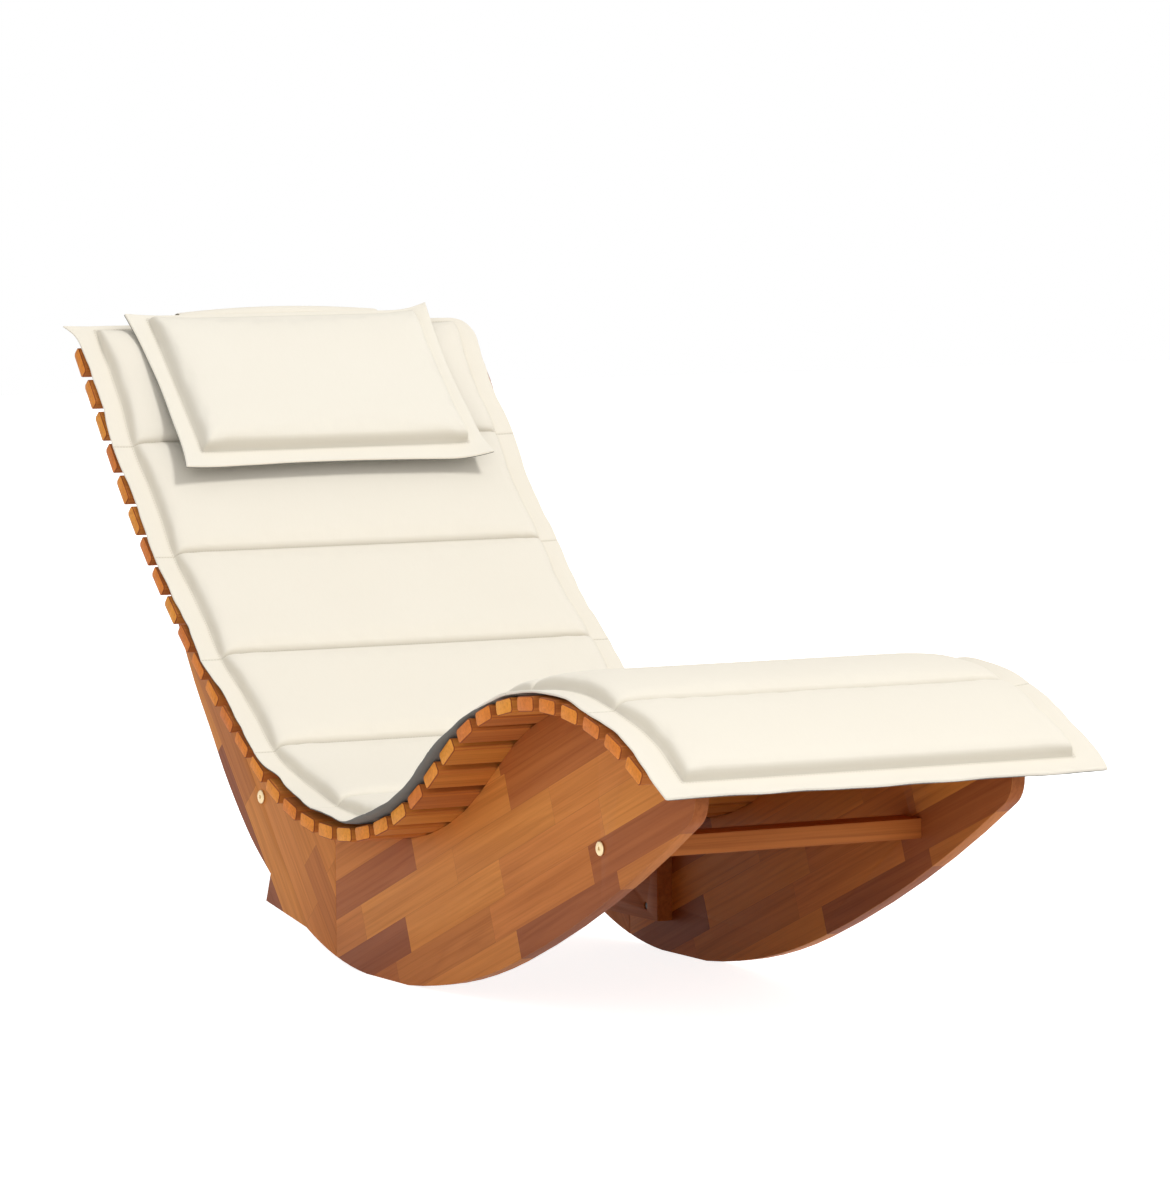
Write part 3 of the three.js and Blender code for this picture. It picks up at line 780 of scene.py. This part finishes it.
def sewn_lines(start, end, cell):
    """Lines of a panel's mesh between two sewn lines, closer together beside the sewing."""
    near, far = beside_seam
    inner_start, inner_end = start + far, end - far
    count = max(round((inner_end - inner_start) / cell), 1)
    inner = [inner_start + (inner_end - inner_start) * i / count for i in range(count + 1)]
    return [start, start + near, *inner, end - near]


def pad_lines(seams, first_border, border, cell):
    """Mesh lines of a pad from one outer edge to the other, through its sewn lines."""
    lines = border_lines(seams[0] - first_border, seams[0])
    for start, end in zip(seams, seams[1:]):
        lines += sewn_lines(start, end, cell)
    return lines + [seams[-1]] + border_lines(seams[-1] + border, seams[-1])[::-1]


def reach_to(place, seams):
    return min((abs(place - seam) for seam in seams), default=far_off)


def is_inside(s, y, seams, sides):
    return seams[0] <= s <= seams[-1] and abs(y) <= sides[1]


def outside_by(s, y, seams, sides):
    return max(abs(y) - sides[1], 0) + max(seams[0] - s, s - seams[-1], 0)


def is_creased(s, y, seams, sides):
    """Whether a place is on a sewn line. The inner cross seams run out over the side borders."""
    crossing = reach_to(s, seams if abs(y) < sides[1] + line_reach else seams[1:-1])
    along = seams[0] - line_reach < s < seams[-1] + line_reach
    return min(crossing, reach_to(y, sides) if along else far_off) < line_reach


def stitch_reaches(s, y, seams, sides):
    """Distances to the stitches along the sides and to those across."""
    inner = seams[1:-1]
    first, last = seams[0] - stitch_inset, seams[-1] + stitch_inset
    along = first - line_reach <= s <= last + line_reach
    side = reach_to(abs(y), [sides[1] + stitch_inset]) if along else far_off
    across = abs(y) <= sides[1] + stitch_inset + line_reach
    return side, reach_to(s, [first, *inner, last] if across else inner)


def side_groove(reach):
    """Lightness, 0 to 1, of the painted shade in a groove along a side, at a distance from its sewn line.
    """
    return side_groove_lightness + (1 - side_groove_lightness) * min(reach / groove_reach, 1)


def rounded_rise(reach, width):
    share = min(max(reach / width, 0), 1)
    return math.sqrt(1 - (1 - share) ** 2)


def padding_rise(reach, run, share, far_run):
    """Share of the height at a distance from the sewing: a steep wall, then a slow crown."""
    left = 1 - min(max(reach / far_run, 0), 1)
    return share * rounded_rise(reach, run) + (1 - share) * (1 - left * left)


def soft_waves(x, y, size, seed):
    return noise.noise(Vector((x / size, y / size, seed)))


def smooth_bump(place, middle, reach):
    """1 at the middle, falling smoothly to 0 at the reach."""
    share = min(abs(place - middle) / reach, 1)
    return (1 - share * share) ** 2


def near_corner(along, across, size):
    """1 at a corner, falling to 0 at a distance from it."""
    return max(0, 1 - math.hypot(along, across) / size) ** 2


def edge_backing_and_shade(s):
    """How far the grey underside colour rises over the cushion's edge, as its value on the upper corner.
    Low on the edge it is the underside's own colour; its rise along the middle of the length is painted
    shade.
    """
    inside = min(s - edge_shade_from, edge_shade_to - s) / edge_shade_run
    return no_backing + (shaded_edge_backing - no_backing) * min(max(inside, 0), 1)


class Pad:
    """Closed skin over a grid of lines: a top sheet, a bottom sheet and the thin edge between them."""

    def __init__(self, rows, columns, coarse):
        self.rows = rows
        self.columns = columns
        self.points = []
        every = range(len(columns))
        self.top = self.sheet(every, every)
        self.kept = sorted({*range(0, len(columns), coarse), len(columns) - 1})
        self.bottom = self.sheet(every, self.kept)
        self.faces = self.top_faces() + self.bottom_faces() + self.edge_faces()

    def sheet(self, end_columns, middle_columns):
        index = {}
        for i in range(len(self.rows)):
            at_end = i in (0, len(self.rows) - 1)
            for j in end_columns if at_end else middle_columns:
                index[i, j] = len(self.points)
                self.points.append((i, j))
        return index

    def top_faces(self):
        cells = [(i, j) for i in range(len(self.rows) - 1) for j in range(len(self.columns) - 1)]
        top = self.top
        return [[top[i, j], top[i + 1, j], top[i + 1, j + 1], top[i, j + 1]] for i, j in cells]

    def bottom_faces(self):
        faces = []
        last = len(self.rows) - 2
        for i in range(last + 1):
            for a, b in zip(self.kept, self.kept[1:]):
                near = range(a, b + 1) if i == 0 else (a, b)
                far = range(b, a - 1, -1) if i == last else (b, a)
                faces.append([self.bottom[i, j] for j in near] + [self.bottom[i + 1, j] for j in far])
        return faces

    def edge_faces(self):
        ring = self.ring()
        pairs = zip(ring, ring[1:] + ring[:1])
        return [[self.top[a], self.top[b], self.bottom[b], self.bottom[a]] for a, b in pairs]

    def ring(self):
        last_row, last_column = len(self.rows) - 1, len(self.columns) - 1
        return (
            [(0, j) for j in range(last_column)]
            + [(i, last_column) for i in range(last_row)]
            + [(last_row, j) for j in range(last_column, 0, -1)]
            + [(i, 0) for i in range(last_row, 0, -1)]
        )

    def is_edge(self, i, j):
        return i in (0, len(self.rows) - 1) or j in (0, len(self.columns) - 1)


def swell(name, pad, flat, pinned, cap, floor_and_ceiling):
    """The flat pad's points after a cloth simulation has swollen its padding."""
    piece = mesh_piece(f"{name}_swelling", flat, pad.faces)
    select_only(piece)
    sewn = piece.vertex_groups.new(name="sewn")
    sewn.add([int(i) for i in np.flatnonzero(pinned)], 1, "REPLACE")
    cloth = modify(piece, "cloth", "CLOTH")
    set_all(cloth.settings, swell_settings)
    cloth.settings.effector_weights.gravity = 0
    cloth.collision_settings.use_collision = False
    cloth.point_cache.frame_start = 1
    cloth.point_cache.frame_end = swell_frames
    for number in range(1, swell_frames + 1):
        bpy.context.scene.frame_set(number)
    evaluated = piece.evaluated_get(bpy.context.evaluated_depsgraph_get())
    swollen = np.empty(len(flat) * 3)
    evaluated.data.vertices.foreach_get("co", swollen)
    bpy.context.scene.frame_set(1)
    bpy.data.objects.remove(piece)
    moved = swollen.reshape(-1, 3) - flat
    reach = np.linalg.norm(moved, axis=1, keepdims=True)
    capped = flat + moved * np.minimum(1, cap / np.maximum(reach, 1e-9))
    low, high = floor_and_ceiling
    capped[:, 2] = np.clip(capped[:, 2], low, high)
    capped[pinned] = flat[pinned]
    return capped


def quilted_pad(name, seams, sides, borders, cell, coarse, form, backing_and_shade, swelling, place, cloth):
    """A closed padded piece: laid out flat, swollen, put in place, creased along its seams and refined."""
    head_border, border = borders
    rows = pad_lines(seams, head_border, border, cell)
    columns = pad_lines(sides, border, border, cell)
    pad = Pad(rows, columns, coarse)
    count = len(pad.points)
    flat = np.zeros((count, 3))
    pinned = np.ones(count, bool)
    creased = np.zeros(count, bool)
    # labels: distances to the stitches, the painted groove shade, and the grey of the underside, which is
    # also painted shade up the cushion's edge
    labels = {label: np.ones(count) for label in ("side_seam", "cross_seam", "groove", "backing_and_shade")}
    for k, (i, j) in enumerate(pad.points):
        s, y = rows[i], columns[j]
        upper = k < len(pad.top)
        lift, pinned[k], labels["groove"][k], creased[k] = form(s, y, upper, seams, sides)
        flat[k] = (s, y, lift)
        labels["side_seam"][k], labels["cross_seam"][k] = stitch_reaches(s, y, seams, sides)
        if upper:
            labels["backing_and_shade"][k] = backing_and_shade(s) if pad.is_edge(i, j) else no_backing
    swollen = swell(name, pad, flat, pinned, *swelling)
    placed = [place(point, original) for point, original in zip(swollen, flat)]
    piece = mesh_piece(name, placed, pad.faces)
    mesh = piece.data
    mesh.materials.append(cloth)
    map_cloth(mesh, flat[:, :2])
    label_points(mesh, labels)
    creases = mesh.attributes.new("crease_edge", "FLOAT", "EDGE")
    for edge in mesh.edges:
        if creased[edge.vertices[0]] and creased[edge.vertices[1]]:
            creases.data[edge.index].value = crease
    refine(piece)
    return piece


# Cushion
def cushion_seams():
    first = head_panel + cushion_border - cushion_head_border
    panels = [first] + [panel_length] * panel_count + [foot_panel]
    return list(accumulate(panels, initial=cushion_head_border - head_past))


def add_cushion():
    seams = cushion_seams()
    sides = [cushion_border - cushion_half, cushion_half - cushion_border]
    cushion = quilted_pad(
        "quilted_cushion", seams, sides, (cushion_head_border, cushion_border), cushion_cell,
        cushion_under_step, cushion_form, edge_backing_and_shade, (cushion_swell, (0, cushion_crown)),
        lambda point, original: cushion_point(point, original, seams),
        canvas("cushion_canvas", linear(249, 242, 227)),
    )
    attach(cushion, "cushion")
    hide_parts("cushion")


def cushion_form(s, y, upper, seams, sides):
    """Height, hold, painted groove shade and crease of a place on the flat cushion."""
    if not upper:
        return 0, True, 1, False
    to_cross, to_side = reach_to(s, seams), reach_to(y, sides)
    creased = is_creased(s, y, seams, sides)
    if is_inside(s, y, seams, sides):
        to_end = min(s - seams[0], seams[-1] - s)
        # painted shade beside the sewn lines, carried in the groove value
        beside_cross = to_cross / cross_groove_reach if to_end > line_reach else 1
        groove = min(side_groove(to_side), to_end / groove_reach, beside_cross, 1)
        return cushion_height(s, y, seams, sides), min(to_cross, to_side) < line_reach, groove, creased
    to_inner = reach_to(s, seams[1:-1])
    # painted shade on the border beside the padding and where inner cross seams run over it
    beside = side_groove(outside_by(s, y, seams, sides) * 2)
    groove = min(beside, border_groove + to_inner / cross_groove_reach)
    return border_thickness - border_dip * (to_inner < line_reach), True, groove, creased


def cushion_height(s, y, seams, sides):
    """Padding's height on the flat cushion before it swells."""
    to_side = sides[1] - abs(y)
    to_border = min(seams[-1] - s, to_side)
    to_cross = reach_to(s, seams[1:-1])
    head_rise = padding_rise(s - seams[0], wall_run, head_wall_share, crown_run)
    border_rise = min(padding_rise(to_border, wall_run, wall_share, crown_run), head_rise)
    inner = rounded_rise(to_side, seam_end_run)
    cross_run = seam_run + (1 - inner) * seam_run
    cross_rise = padding_rise(to_cross, cross_run, seam_wall_share, crown_run)
    crown = cushion_crown - cushion_swell
    seam = border_thickness + (seam_height - border_thickness) * inner
    full = seam + (crown - seam) * cross_rise
    return border_thickness + (full - border_thickness) * border_rise


def cushion_point(point, original, seams):
    """Place of a point of the flat cushion on the slats, with the border's waves and drawn-in sides."""
    s, y, lift = (float(part) for part in point)
    along, across = original[0], original[1]
    foot_seam = seams[-1]
    side_out = max(abs(across) - (cushion_half - cushion_border), 0) / cushion_border
    end_out = max(seams[0] - along, along - foot_seam, 0) / cushion_border
    out = max(side_out, end_out)
    way = -1 if y < 0 else 1

    wave = 0.5 + soft_waves(along, across, *border_wave_form)
    lift += out * out * border_wave * max(wave, 0)
    rise = math.sqrt(max(1 - abs(along - rise_lift_middle) / rise_lift_reach, 0))
    ripple = 1 + slat_ripple * math.sin(2 * math.pi * along / slat_pitch)
    lift += side_out * side_out * rise_lift * rise * ripple
    y += way * side_out * rise_overhang * rise
    bridge = smooth_bump(along, seat_lift_middle, seat_lift_reach)
    lift += seat_lift * bridge
    if way < 0:
        y -= y / cushion_half * seat_draw * bridge
    else:
        flare = max(1 - abs(along - knee_flare_middle) / knee_flare_reach, 0)
        lift += side_out * knee_flare * flare * (2 - flare)

    to_foot = max(along - foot_border_from, 0) / (foot_seam - foot_border_from)
    widened = foot_border_gain * min(to_foot, 1) * (1 - side_out)
    y -= way * widened * abs(y) / (cushion_half - cushion_border)
    draw = side_draw * min(reach_to(along, seams) / side_draw_run, 1) ** 2
    if way > 0 and along < seams[1]:
        draw *= head_draw_gain
    y -= way * draw * abs(y) / cushion_half
    y += way * side_out * edge_wander * abs(soft_waves(along, 0, *edge_wander_form))
    s += end_out * end_wander * soft_waves(across, 0, *end_wander_form)

    if along < seams[1]:
        y -= way * head_pinch * near_corner(s + head_past, abs(y) - cushion_half, head_pinch_reach)
        corner = near_corner(along + head_past, abs(across) - cushion_half, tip_reach)
        y += corner * (-right_tip_out if way < 0 else -left_tip_in)
        s += corner * (0 if way < 0 else left_tip_in)
    if way > 0:
        foot_edge = foot_seam + cushion_border
        y -= foot_pinch * near_corner(along - foot_edge, abs(across) - cushion_half, foot_pinch_reach)
    return lifted(s, slat_thickness + 3 * rest_gap + lift, y)


# Pillow
def pillow_frame():
    """The pillow's head edge, its direction towards the feet and the direction out of its top."""
    top = lifted(-pillow_past, slat_thickness + pillow_head_lift, 0)
    bottom = lifted(pillow_length - pillow_past, slat_thickness + pillow_tail_lift, 0)
    along = (bottom - top).normalized()
    return top - along * pillow_climb, along, Vector((-along.z, 0, along.x))


def add_pillow():
    seams = [pillow_head_border, pillow_length - pillow_border]
    sides = [pillow_border - pillow_half, pillow_half - pillow_border]
    edges = pillow_frame()
    pillow = quilted_pad(
        "head_pillow", seams, sides, (pillow_head_border, pillow_border), pillow_cell,
        pillow_under_step, pillow_form, lambda s: pillow_backing,
        (pillow_swell, (-pillow_belly, pillow_crown)),
        lambda point, original: pillow_point(point, original, *edges),
        canvas("pillow_canvas", linear(250, 244, 230)),
    )
    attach(pillow, "pillow")
    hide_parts("pillow")


def pillow_form(s, y, upper, seams, sides):
    """Height, hold, painted groove shade and crease of a place on the flat pillow."""
    to_side, to_end = sides[1] - abs(y), min(s - seams[0], seams[1] - s)
    to_border = min(to_end, to_side)
    # painted shade beside the sewn lines, carried in the groove value
    groove = side_groove(outside_by(s, y, seams, sides) * 2)
    if to_border > -line_reach / 2:
        groove = min(side_groove(max(to_side, 0)), max(to_end, 0) / groove_reach, 1)
    to_padding = to_border if upper else min(to_border, s - pillow_border)
    lift = border_thickness if upper else 0
    held = to_padding <= line_reach / 2
    if not held:
        rise = padding_rise(to_padding, pillow_wall_run, pillow_wall_share, pillow_crown_run)
        if upper:
            head_rise = padding_rise(s - seams[0], pillow_wall_run, head_wall_share, pillow_crown_run)
            lift += min(rise, head_rise) * (pillow_crown - border_thickness) * pillow_crown_share
        else:
            lift -= rise * pillow_belly * pillow_belly_share
    return lift, held, groove, is_creased(s, y, seams, sides)


def pillow_point(point, original, top, along, out):
    """Place of a point of the flat pillow, with its border's waves, drawn-in edges and curled corners."""
    s, y, lift = (float(part) for part in point)
    flat_s, flat_y = original[0], original[1]
    hand = 0 if y < 0 else 1
    side_out = max(abs(flat_y) - (pillow_half - pillow_border), 0) / pillow_border
    foot_out = flat_s - (pillow_length - pillow_border)
    end_out = max(pillow_head_border - flat_s, foot_out, 0) / pillow_border
    outer = max(side_out, end_out)
    lift += outer * outer * pillow_wave * soft_waves(flat_s, flat_y, *pillow_wave_form)
    y -= math.copysign(pillow_draw * math.cos(math.pi * (flat_s / pillow_length - 0.5)) * side_out, y)
    if flat_s > pillow_length / 2:
        s -= pillow_draw * math.cos(math.pi / 2 * flat_y / pillow_half) * end_out
    head_corner = near_corner(flat_s, abs(flat_y) - pillow_half, pillow_head_curl_reach)
    foot_corner = near_corner(flat_s - pillow_length, abs(flat_y) - pillow_half, pillow_foot_curl_reach)
    lift += head_corner * pillow_head_curls[hand] + foot_corner * pillow_foot_curls[hand]
    y -= pillow_head_skew * head_corner
    if hand == 0:
        y -= pillow_foot_skew * foot_corner
    place = top + along * s + out * lift
    place.y = y * pillow_spread - pillow_shift
    return place


# Flap
def flap_path():
    """Middle line of the flap in the side view: out of the pillow's head seam, over and down."""
    top, along, out = pillow_frame()
    start = top + out * border_thickness / 2 - along * rest_gap
    points = [start, start - along * flap_straight]
    heading = math.atan2(-along.z, -along.x) % (2 * math.pi)
    x, z = points[-1].x, points[-1].z
    turn = 1.5 * math.pi - heading
    for i in range(1, fold_steps + 1):
        angle = heading + turn * i / fold_steps
        points.append(Vector((
            x + flap_radius * (math.sin(angle) - math.sin(heading)), 0,
            z + flap_radius * (math.cos(heading) - math.cos(angle)),
        )))
    last = points[-1]
    hanging = [last - Vector((0, 0, flap_drop * i / hang_steps)) for i in range(1, hang_steps + 1)]
    return points + hanging


def flap_point(point, along, total, share):
    """A place on the flap, across its middle line at a distance along it: share runs from -1 to 1."""
    y = share * flap_half
    hang = max(along - hang_from, 0) / (total - hang_from)
    fold = soft_waves(y, along * hang_wave_drift, *hang_wave_form) - hang_wave_out
    crest = math.sin(math.pi * min(along / crest_run, 1))
    x = point.x + hang * hang_wave * fold
    z = point.z + (crest_rise - crest_fall * share * share) * crest
    return x, y * (1 - hang_narrowing * hang), z


def add_flap():
    path = flap_path()
    lengths = [0, *accumulate((b - a).length for a, b in zip(path, path[1:]))]
    total = lengths[-1]
    shares = [2 * j / (flap_columns - 1) - 1 for j in range(flap_columns)]
    stations = list(zip(path, lengths))
    points = [flap_point(point, along, total, share) for point, along in stations for share in shares]
    places = [(along, share * flap_half) for along in lengths for share in shares]
    starts = [i * flap_columns + j for i in range(len(path) - 1) for j in range(flap_columns - 1)]
    faces = [(a, a + 1, a + flap_columns + 1, a + flap_columns) for a in starts]
    flap = mesh_piece("pillow_strap", points, faces)
    flap.data.materials.append(canvas("strap_canvas", linear(250, 243, 228)))
    map_cloth(flap.data, places)
    label_points(flap.data, {
        "side_seam": [abs(abs(y) - flap_half + flap_hem) for _, y in places],
        "cross_seam": [abs(along - total + flap_hem) for along, _ in places],
        "groove": [1] * len(places),
        "backing_and_shade": [0] * len(places),
    })
    modify_at_once(flap, "thicker", "SOLIDIFY", thickness=flap_thickness, offset=0)
    refine(flap)
    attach(flap, "cushion")
    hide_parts("pillow_flap")


# Stage
def seen_directly(tree):
    """1 for what the camera sees directly, in metal or through glass, else 0."""
    path = add(tree, "LightPath").outputs
    bright = maths(tree, "MAXIMUM", path["Is Glossy Ray"], path["Is Transmission Ray"])
    return maths(tree, "MAXIMUM", path["Is Camera Ray"], bright)


def add_floor():
    corners = [(x * floor_half, y * floor_half, 0) for x, y in ((-1, -1), (1, -1), (1, 1), (-1, 1))]
    floor = mesh_piece("floor", corners, [(0, 1, 2, 3)])
    material, tree, shader = new_material("floor", Roughness=0.9, Base_Color=(0.9, 0.9, 0.9, 1))
    glow = add(tree, "Emission", {"Strength": floor_glow})
    seen = add(tree, "AddShader", {0: shader.outputs[0], 1: glow.outputs[0]})
    shown = add(tree, "MixShader", {0: seen_directly(tree), 1: shader.outputs[0], 2: seen.outputs[0]})
    tree.links.new(shown.outputs[0], tree.nodes["Material Output"].inputs["Surface"])
    floor.data.materials.append(material)


def add_lights():
    world = bpy.data.worlds.new("studio")
    bpy.context.scene.world = world
    world.use_nodes = True
    tree = world.node_tree
    background = tree.nodes["Background"]
    strength = ranged(tree, seen_directly(tree), world_strength, 1)
    background.inputs["Color"].default_value = (1, 1, 1, 1)
    tree.links.new(strength, background.inputs["Strength"])
    for name, place, aim, size, power in lamps:
        lamp = new_object(name, bpy.data.lights.new(name, "AREA"))
        set_all(lamp.data, {"shape": "DISK", "size": size, "energy": power})
        lamp.location = place
        lamp.rotation_euler = (Vector(aim) - Vector(place)).to_track_quat("-Z", "Y").to_euler()


def add_camera():
    camera = new_object("camera", bpy.data.cameras.new("camera"))
    camera.data.sensor_fit = "VERTICAL"
    camera.data.sensor_height = camera.data.sensor_width = sensor_side
    camera.data.lens = sensor_side * lens_length / picture_height
    camera.data.clip_end = camera_reach
    camera.location = camera_place
    forward = Vector((
        -math.cos(camera_turn) * math.cos(camera_tilt),
        math.sin(camera_turn) * math.cos(camera_tilt),
        -math.sin(camera_tilt),
    ))
    level = forward.to_track_quat("-Z", "Y").to_matrix()
    camera.rotation_euler = (level @ Matrix.Rotation(-camera_roll, 3, "Z")).to_euler()
    bpy.context.scene.camera = camera


add_camera()
add_lights()
add_floor()
dress_slats()
dress_sides()
dress_metal()
add_cushion()
add_pillow()
add_flap()

bpy.context.scene.view_settings.view_transform = "Standard"
